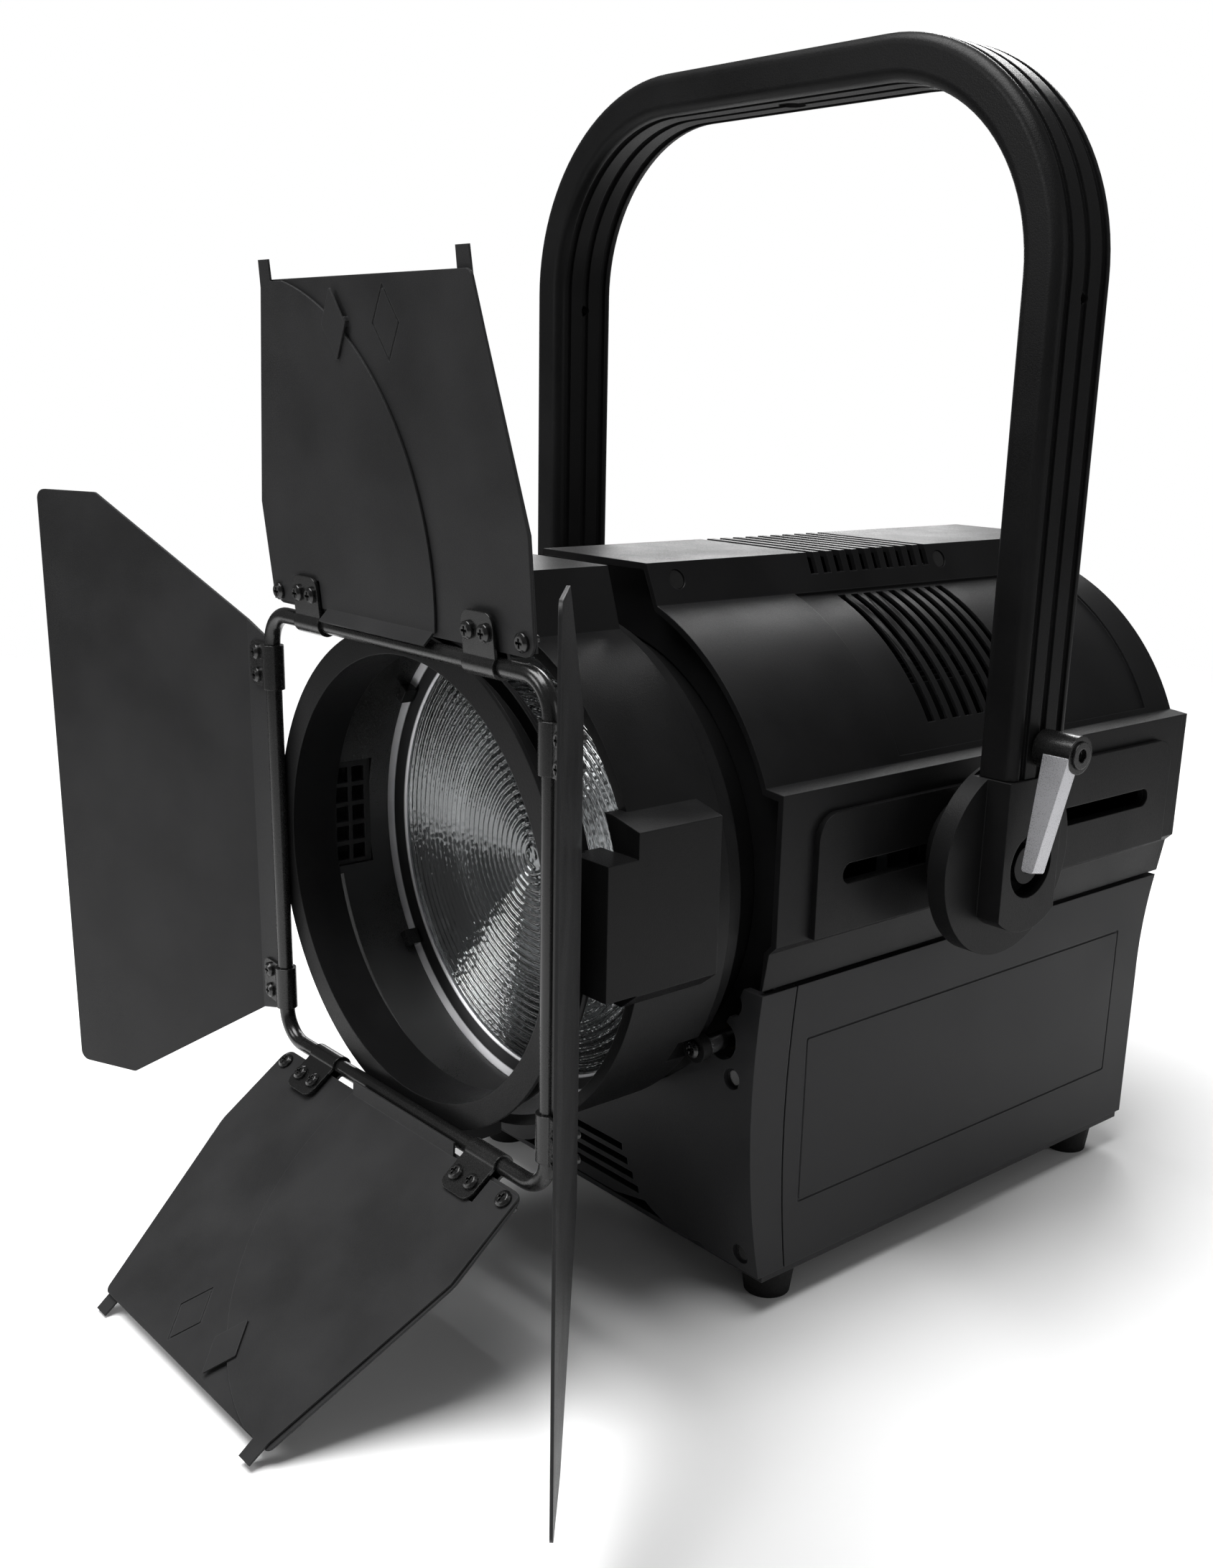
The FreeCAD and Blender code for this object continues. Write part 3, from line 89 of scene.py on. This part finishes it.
def mixed(tree, factor, first, second):
    """A colour between first and second, each a colour or a socket."""
    mix = tree.nodes.new("ShaderNodeMix")
    mix.data_type = "RGBA"
    tree.links.new(factor, mix.inputs["Factor"])
    for socket, colour in (("A", first), ("B", second)):
        into = [s for s in mix.inputs if s.name == socket and s.type == "RGBA"][0]
        if isinstance(colour, bpy.types.NodeSocket):
            tree.links.new(colour, into)
        else:
            into.default_value = (*colour, 1)
    return [s for s in mix.outputs if s.type == "RGBA"][0]


def edge_round(tree, radius):
    """The surface normal with every hard edge eased by radius."""
    bevel = tree.nodes.new("ShaderNodeBevel")
    bevel.samples = 4
    bevel.inputs["Radius"].default_value = radius
    return bevel.outputs["Normal"]


def edge_mask(tree, eased):
    """1 where the eased normal leaves the flat one, so along the edges."""
    flat = tree.nodes.new("ShaderNodeNewGeometry")
    dot = tree.nodes.new("ShaderNodeVectorMath")
    dot.operation = "DOT_PRODUCT"
    tree.links.new(eased, dot.inputs[0])
    tree.links.new(flat.outputs["Normal"], dot.inputs[1])
    return between(tree, dot.outputs["Value"], 1.0, 0.0, start=0.86, end=0.99)


def bump(tree, height, strength, distance, base=None):
    """A normal raised by height; base is the normal it starts from."""
    node = tree.nodes.new("ShaderNodeBump")
    node.inputs["Strength"].default_value = strength
    node.inputs["Distance"].default_value = distance
    tree.links.new(height, node.inputs["Height"])
    if base is not None:
        tree.links.new(base, node.inputs["Normal"])
    return node.outputs["Normal"]


def coat(name, colour, rough, grain=0.00045, relief=0.5, edge=0.0006, wear_and_highlight=2.2,
         shine=0.5, metal=0.0):
    """A powder or sprayed coat: fine grain, faint clouds of sheen, and edges paler in colour, partly
    as wear and partly as a painted highlight.
    grain is the width of one grain in metres; the edge paling factor (wear plus painted highlight)
    says how much paler an edge is."""
    material, tree, shader = new_material(name)
    eased = edge_round(tree, edge)
    grains = noise(tree, 1 / grain, 3.0)
    clouds = noise(tree, 22.0, 4.0)
    dark = tuple(c * 0.86 for c in colour)
    light = tuple(c * 1.16 for c in colour)
    base = mixed(tree, between(tree, clouds, 0.0, 1.0), dark, light)
    # Edges paler than the coat: partly wear, partly a painted highlight where light catches the edge.
    worn_and_highlit_edge = tuple(min(1.0, c * wear_and_highlight) for c in colour)
    base = mixed(tree, edge_mask(tree, eased), base, worn_and_highlit_edge)
    tree.links.new(base, shader.inputs["Base Color"])
    mottle = tree.nodes.new("ShaderNodeMath")
    mottle.operation = "ADD"
    tree.links.new(between(tree, clouds, -0.05, 0.05), mottle.inputs[0])
    tree.links.new(between(tree, grains, rough - 0.07, rough + 0.07), mottle.inputs[1])
    tree.links.new(mottle.outputs[0], shader.inputs["Roughness"])
    tree.links.new(bump(tree, grains, relief, grain * 0.22, eased), shader.inputs["Normal"])
    shader.inputs["Specular IOR Level"].default_value = shine
    shader.inputs["Metallic"].default_value = metal
    return material


def metal(name, colour, rough, stretch=(1, 1, 1), grain=0.0008, relief=0.2, edge=0.0004):
    """Bare or plated metal with fine tool marks drawn out along one way."""
    material, tree, shader = new_material(name)
    eased = edge_round(tree, edge)
    marks = noise(tree, 1 / grain, 4.0, stretch)
    smears = noise(tree, 35.0, 3.0)
    dark = tuple(c * 0.8 for c in colour)
    base = mixed(tree, between(tree, smears, 0.0, 1.0), dark, colour)
    tree.links.new(base, shader.inputs["Base Color"])
    tree.links.new(between(tree, marks, rough * 0.75, rough * 1.35), shader.inputs["Roughness"])
    tree.links.new(bump(tree, marks, relief, grain * 0.1, eased), shader.inputs["Normal"])
    shader.inputs["Metallic"].default_value = 1.0
    return material


def radial(tree, centre):
    """Distance from the optical axis, in metres; the axis runs along Y through centre."""
    place = tree.nodes.new("ShaderNodeTexCoord")
    split = tree.nodes.new("ShaderNodeMapping")
    split.inputs["Location"].default_value = (-centre.x, 0, -centre.z)
    split.inputs["Scale"].default_value = (1, 0, 1)
    length = tree.nodes.new("ShaderNodeVectorMath")
    length.operation = "LENGTH"
    tree.links.new(place.outputs["Object"], split.inputs["Vector"])
    tree.links.new(split.outputs["Vector"], length.inputs[0])
    return length.outputs["Value"]


def maths(tree, operation, first, second=0.0):
    """One sum on two values, each a number or a socket."""
    node = tree.nodes.new("ShaderNodeMath")
    node.operation = operation
    for socket, value in zip(node.inputs, (first, second)):
        if isinstance(value, bpy.types.NodeSocket):
            tree.links.new(value, socket)
        else:
            socket.default_value = value
    return node.outputs[0]


def lens_glass(name):
    """Pressed glass with a pebbled skin."""
    material, tree, shader = new_material(name)
    place = tree.nodes.new("ShaderNodeTexCoord")
    pebbles = tree.nodes.new("ShaderNodeTexVoronoi")
    pebbles.feature = "SMOOTH_F1"
    pebbles.inputs["Scale"].default_value = 380.0
    tree.links.new(place.outputs["Object"], pebbles.inputs["Vector"])
    tree.links.new(bump(tree, pebbles.outputs["Distance"], 0.4, 0.0005), shader.inputs["Normal"])
    tree.links.new(between(tree, noise(tree, 900.0), 0.04, 0.12), shader.inputs["Roughness"])
    shader.inputs["Base Color"].default_value = (0.4, 0.42, 0.43, 1)
    shader.inputs["Metallic"].default_value = 0.16
    shader.inputs["Transmission Weight"].default_value = 1.0
    shader.inputs["Specular IOR Level"].default_value = 1.0
    shader.inputs["IOR"].default_value = 1.8
    return material


# The ring's two bright bands are painted highlights along its outer and inner edge.
OUTER_HIGHLIGHT_BAND = 0.003      # width of the ring's bright outer band
INNER_HIGHLIGHT_BAND = 0.008      # how far inside the rim its bright inner band starts
HIGHLIGHT_BLEND = 0.0006     # width over which a band fades


def lens_ring(name):
    """Polished lens ring: painted highlights along its outer and inner edge, dark in between."""
    material, tree, shader = new_material(name)
    low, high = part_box("lens_bezel")
    centre, radius = (Vector(low) + Vector(high)) / 2, (high[0] - low[0]) / 2
    distance = radial(tree, centre)
    outer = between(tree, distance, 0.0, 1.0,
                    start=radius - OUTER_HIGHLIGHT_BAND - HIGHLIGHT_BLEND, end=radius - OUTER_HIGHLIGHT_BAND)
    inner = between(tree, distance, 1.0, 0.0,
                    start=radius - INNER_HIGHLIGHT_BAND - HIGHLIGHT_BLEND, end=radius - INNER_HIGHLIGHT_BAND)
    painted_highlights = maths(tree, "MAXIMUM", outer, inner)
    # Base colour: pale painted highlights at the two edges, dark in between.
    base = mixed(tree, painted_highlights, (0.03, 0.03, 0.031), (0.8, 0.8, 0.82))
    tree.links.new(base, shader.inputs["Base Color"])
    marks = noise(tree, 1400.0, 3.0)
    tree.links.new(between(tree, marks, 0.28, 0.4), shader.inputs["Roughness"])
    tree.links.new(bump(tree, marks, 0.1, 0.00005, edge_round(tree, 0.0004)), shader.inputs["Normal"])
    shader.inputs["Metallic"].default_value = 1.0
    return material


MATERIALS = {
    "hood_inside": coat("hood_inside", (0.01, 0.01, 0.01), 0.34, relief=0.25, shine=0.9),
    "charcoal_shell": coat("shell_coat", (0.0065, 0.0065, 0.0068), 0.42, shine=0.13),
    "charcoal_casting": coat("casting_coat", (0.0065, 0.0065, 0.0067), 0.4, grain=0.0006, shine=0.12),
    "grey_panel": coat("panel_coat", (0.022, 0.022, 0.023), 0.46, relief=0.7, shine=0.14),
    "black_leaf": coat("leaf_coat", (0.022, 0.022, 0.0225), 0.42, relief=0.8, shine=0.12),
    "black_steel": coat("gloss_black", (0.007, 0.007, 0.007), 0.24, relief=0.15, shine=0.45),
    "screw_black": coat("black_oxide", (0.006, 0.006, 0.006), 0.2, relief=0.1, shine=0.6, wear_and_highlight=1.5),
    "chrome_rod": metal("hard_chrome", (0.82, 0.82, 0.84), 0.12, stretch=(1, 12, 1)),
    "bright_ring": lens_ring("spun_aluminium"),
    "fresnel_glass": lens_glass("lens_glass"),
    "grille_mesh": coat("grille_plastic", (0.008, 0.008, 0.008), 0.4, grain=0.0015, relief=0.8),
    "lever_grey": coat("lever_paint", (0.46, 0.46, 0.48), 0.3, wear_and_highlight=1.2, metal=0.6),
    "rubber_foot": coat("foot_rubber", (0.008, 0.008, 0.008), 0.75, grain=0.0009, shine=0.2),
    # Heat sink, driver board and supply case: colours darkened as painted shade, so the housing's
    # interior shows dark through its slots.
    "sink_alu": metal("sink_darkened_as_shade", (0.035, 0.035, 0.037), 0.38, stretch=(1, 1, 6)),
    "board_white": coat("board_darkened_as_shade", (0.2, 0.2, 0.19), 0.4, wear_and_highlight=1.0),
    "supply_case": metal("supply_darkened_as_shade", (0.16, 0.16, 0.165), 0.42),
    "fan_plastic": coat("fan_plastic", (0.01, 0.01, 0.01), 0.38, grain=0.0008),
    "motor_steel": coat("motor_lacquer", (0.02, 0.02, 0.02), 0.35),
    "screw_steel": metal("ground_steel", (0.4, 0.4, 0.41), 0.25, stretch=(1, 8, 1)),
    "bushing_brass": metal("dark_bronze", (0.09, 0.065, 0.035), 0.34),
    "window_black": coat("window_acrylic", (0.006, 0.006, 0.007), 0.08, relief=0.03, wear_and_highlight=1.5),
    "button_plastic": coat("button_plastic", (0.03, 0.03, 0.031), 0.42),
    "socket_black": coat("socket_plastic", (0.01, 0.01, 0.01), 0.4, grain=0.0008),
}


def repaint(name, slot_name, wanted):
    """Gives another slot's material to the faces whose centre and normal are wanted."""
    node = NODES[name]
    node.data.materials.append(MATERIALS[slot_name])
    for face in node.data.polygons:
        if wanted(face.center, face.normal):
            face.material_index = len(node.data.materials) - 1


HUB_PLAY = 0.0002       # added to the lever hub's radius
CLIP_REACH = 0.0078     # the clips begin this far in front of the lens
BORE_PLAY = 0.001       # added to the radius of the head's bore


def second_finishes():
    """Black lever hub, lens clips and bolt faces, and a hood that is glossier inside."""
    repaint("yoke_bolts", "charcoal_casting", lambda at, normal: abs(normal.x) > 0.9)
    stud_low, stud_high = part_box("lever_stud")
    hub = (stud_low + stud_high) / 2
    hub_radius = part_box("clamp_lever")[1][2] - hub.z + HUB_PLAY
    repaint("clamp_lever", "black_steel",
            lambda at, normal: math.hypot(at.y - hub.y, at.z - hub.z) < hub_radius)
    ring_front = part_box("fresnel_lens")[0][1] - CLIP_REACH
    repaint("lens_bezel", "black_steel", lambda at, normal: at.y < ring_front)
    axis = (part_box("fresnel_lens")[0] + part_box("fresnel_lens")[1]) / 2
    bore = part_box("lens_bezel")[1][0] + BORE_PLAY

    def inside(at, normal):
        out = Vector((at.x - axis.x, 0, at.z - axis.z))
        return out.length < bore and out.dot(normal) < 0
    repaint("head_shell", "hood_inside", inside)


def dress_nodes():
    """Gives every CAD node the material of its slot in the record."""
    for part in frame["record"]["subparts"]:
        node = NODES[part["node"]]
        node.data.materials.clear()
        node.data.materials.append(MATERIALS[part["material_slot"]])


# --- the lens ------------------------------------------------------------------

LENS_RINGS = 27
RING_DEPTH = 0.0021     # depth of the outer steps
LENS_SECTORS = 144
CENTRE_DIP = 0.0002     # how far the middle lies behind the first step
# One step from its crest outwards: (share of its width, share of its depth).
STEP_SHAPE = ((0.0, 0.0), (0.3, 0.3), (0.7, 1.0), (0.88, 0.6))


def lens_profile(low, high, radius):
    """(y, distance from the axis) along the stepped front, round the rim and over the back."""
    front, back, pitch = low.y, high.y, radius / (LENS_RINGS + 0.5)
    points = [(front + CENTRE_DIP, pitch * 0.7)]
    for k in range(1, LENS_RINGS + 1):
        start = pitch * (k + 0.1)
        depth = RING_DEPTH * min(1.0, 0.35 + k / LENS_RINGS)
        for along, down in STEP_SHAPE:
            points.append((front + depth * down, start + pitch * along))
    rim = [(front + RING_DEPTH, radius), (back, radius), (back, radius * 0.5)]
    return points[:-2] + rim


def stepped_lens():
    """The lens with all its fine ridges, turned round the optical axis."""
    low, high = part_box("fresnel_lens")
    axis, radius = (low + high) / 2, (high.x - low.x) / 2
    profile = lens_profile(low, high, radius)
    vertices, faces = [], []
    for y, reach in profile:
        for k in range(LENS_SECTORS):
            angle = 2 * math.pi * k / LENS_SECTORS
            vertices.append((axis.x + reach * math.cos(angle), y, axis.z + reach * math.sin(angle)))
    for ring in range(len(profile) - 1):
        for k in range(LENS_SECTORS):
            here = ring * LENS_SECTORS + k
            there = ring * LENS_SECTORS + (k + 1) % LENS_SECTORS
            faces.append((here, there, there + LENS_SECTORS, here + LENS_SECTORS))
    first, last = len(vertices), (len(profile) - 1) * LENS_SECTORS
    vertices += [(axis.x, low.y, axis.z), (axis.x, high.y, axis.z)]
    for k in range(LENS_SECTORS):
        step = (k + 1) % LENS_SECTORS
        faces.append((first, step, k))
        faces.append((first + 1, last + k, last + step))
    mesh = bpy.data.meshes.new("stepped_lens")
    mesh.from_pydata(vertices, [], faces)
    shape = bmesh.new()
    shape.from_mesh(mesh)
    bmesh.ops.recalc_face_normals(shape, faces=shape.faces)
    shape.to_mesh(mesh)
    shape.free()
    mesh.materials.append(MATERIALS["fresnel_glass"])
    mesh.polygons.foreach_set("use_smooth", [True] * len(mesh.polygons))
    lens = bpy.data.objects.new("stepped_lens", mesh)
    bpy.context.scene.collection.objects.link(lens)
    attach(lens, "lens_head")
    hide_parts("fresnel_lens")


# --- floor, light and camera --------------------------------------------------

def squared_distance(tree):
    """Square of the distance from the middle of the floor."""
    place = tree.nodes.new("ShaderNodeTexCoord")
    dot = tree.nodes.new("ShaderNodeVectorMath")
    dot.operation = "DOT_PRODUCT"
    tree.links.new(place.outputs["Object"], dot.inputs[0])
    tree.links.new(place.outputs["Object"], dot.inputs[1])
    return dot.outputs["Value"]


FLOOR_RADIUS = 4
FADE_START = 0.75       # distance from the middle at which the floor begins to fade
FADE_END = 1.9


def make_floor():
    """A wide pale matt floor that fades out into the white surround."""
    bpy.ops.mesh.primitive_circle_add(vertices=96, radius=FLOOR_RADIUS, fill_type="NGON")
    floor = bpy.context.object
    floor.name = "floor"
    material, tree, shader = new_material("floor_paper")
    fibres = noise(tree, 600.0, 3.0)
    clouds = noise(tree, 1.5, 2.0)
    base = mixed(tree, between(tree, clouds, 0.0, 1.0), (0.86, 0.86, 0.86), (0.9, 0.9, 0.9))
    tree.links.new(base, shader.inputs["Base Color"])
    tree.links.new(bump(tree, fibres, 0.1, 0.0002), shader.inputs["Normal"])
    shader.inputs["Roughness"].default_value = 0.9
    shader.inputs["Specular IOR Level"].default_value = 0.0
    clear = tree.nodes.new("ShaderNodeBsdfTransparent")
    fade = tree.nodes.new("ShaderNodeMixShader")
    away = maths(tree, "SQRT", squared_distance(tree))
    faded = between(tree, away, 0.0, 1.0, start=FADE_START, end=FADE_END)
    tree.links.new(faded, fade.inputs["Fac"])
    tree.links.new(shader.outputs["BSDF"], fade.inputs[1])
    tree.links.new(clear.outputs["BSDF"], fade.inputs[2])
    output = [n for n in tree.nodes if n.type == "OUTPUT_MATERIAL"][0]
    tree.links.new(fade.outputs["Shader"], output.inputs["Surface"])
    floor.data.materials.append(material)


def make_surround():
    """A white studio surround. Only the camera sees it; it lights nothing."""
    bpy.ops.mesh.primitive_uv_sphere_add(segments=48, ring_count=24, radius=12)
    surround = bpy.context.object
    surround.name = "surround"
    material = bpy.data.materials.new("surround_white")
    material.use_nodes = True
    tree = material.node_tree
    tree.nodes.clear()
    output = tree.nodes.new("ShaderNodeOutputMaterial")
    glow = tree.nodes.new("ShaderNodeEmission")
    glow.inputs["Color"].default_value = (1, 1, 1, 1)
    glow.inputs["Strength"].default_value = 1.0
    tree.links.new(glow.outputs["Emission"], output.inputs["Surface"])
    surround.data.materials.append(material)
    for ray in ("diffuse", "glossy", "transmission", "volume_scatter", "shadow"):
        setattr(surround, "visible_" + ray, False)


def soft_light(name, place, target, size, watts):
    """A rectangular soft box at place that faces target; size is its width and height."""
    data = bpy.data.lights.new(name, "AREA")
    data.shape = "RECTANGLE"
    data.size = size[0]
    data.size_y = size[1]
    data.energy = watts
    lamp = bpy.data.objects.new(name, data)
    lamp.location = place
    aim = Vector(target) - Vector(place)
    lamp.rotation_euler = aim.to_track_quat("-Z", "Y").to_euler()
    bpy.context.scene.collection.objects.link(lamp)


def make_lights():
    """A large soft key overhead, a weak fill, and three small boxes for the highlights."""
    world = bpy.data.worlds.new("studio")
    world.use_nodes = True
    background = world.node_tree.nodes["Background"]
    background.inputs["Color"].default_value = (1, 1, 1, 1)
    background.inputs["Strength"].default_value = 0.15
    bpy.context.scene.world = world
    middle = (0, 0, 0.25)
    soft_light("key", (-0.2, -0.6, 2.4), middle, (1.7, 1.7), 96)
    soft_light("right_fill", (2.3, 0.9, 0.9), middle, (0.9, 1.0), 5)
    soft_light("rear_left", (-1.8, 1.5, 0.95), middle, (1.2, 0.8), 12)
    soft_light("lens_glint", (-0.75, -1.9, 1.1), (0, -0.2, 0.2), (0.7, 0.6), 10)
    soft_light("rear_top", (-0.8, 1.45, 1.4), middle, (0.6, 0.5), 10)


def make_camera():
    """A viewpoint a little above the lens and to its right."""
    data = bpy.data.cameras.new("camera")
    data.sensor_width = 36.0
    data.lens = 37.02
    data.shift_x = -0.0197
    data.shift_y = 0.0519
    camera = bpy.data.objects.new("camera", data)
    azimuth = math.radians(48.7)
    pitch = math.radians(16.64)
    roll = math.radians(1.41)
    place = Vector((0.5753, -0.6253, 0.4147))
    flat = math.cos(pitch)
    ahead = Vector((-math.sin(azimuth) * flat, math.cos(azimuth) * flat, -math.sin(pitch)))
    level = Vector((math.cos(azimuth), math.sin(azimuth), 0))
    above = level.cross(ahead)
    right = level * math.cos(roll) + above * math.sin(roll)
    top = right.cross(ahead)
    turn = Matrix((right, top, -ahead)).transposed()
    camera.matrix_world = Matrix.Translation(place) @ turn.to_4x4()
    bpy.context.scene.collection.objects.link(camera)
    bpy.context.scene.camera = camera


dress_nodes()
second_finishes()
stepped_lens()
make_floor()
make_surround()
make_lights()
make_camera()
bpy.context.scene.view_settings.view_transform = "Standard"
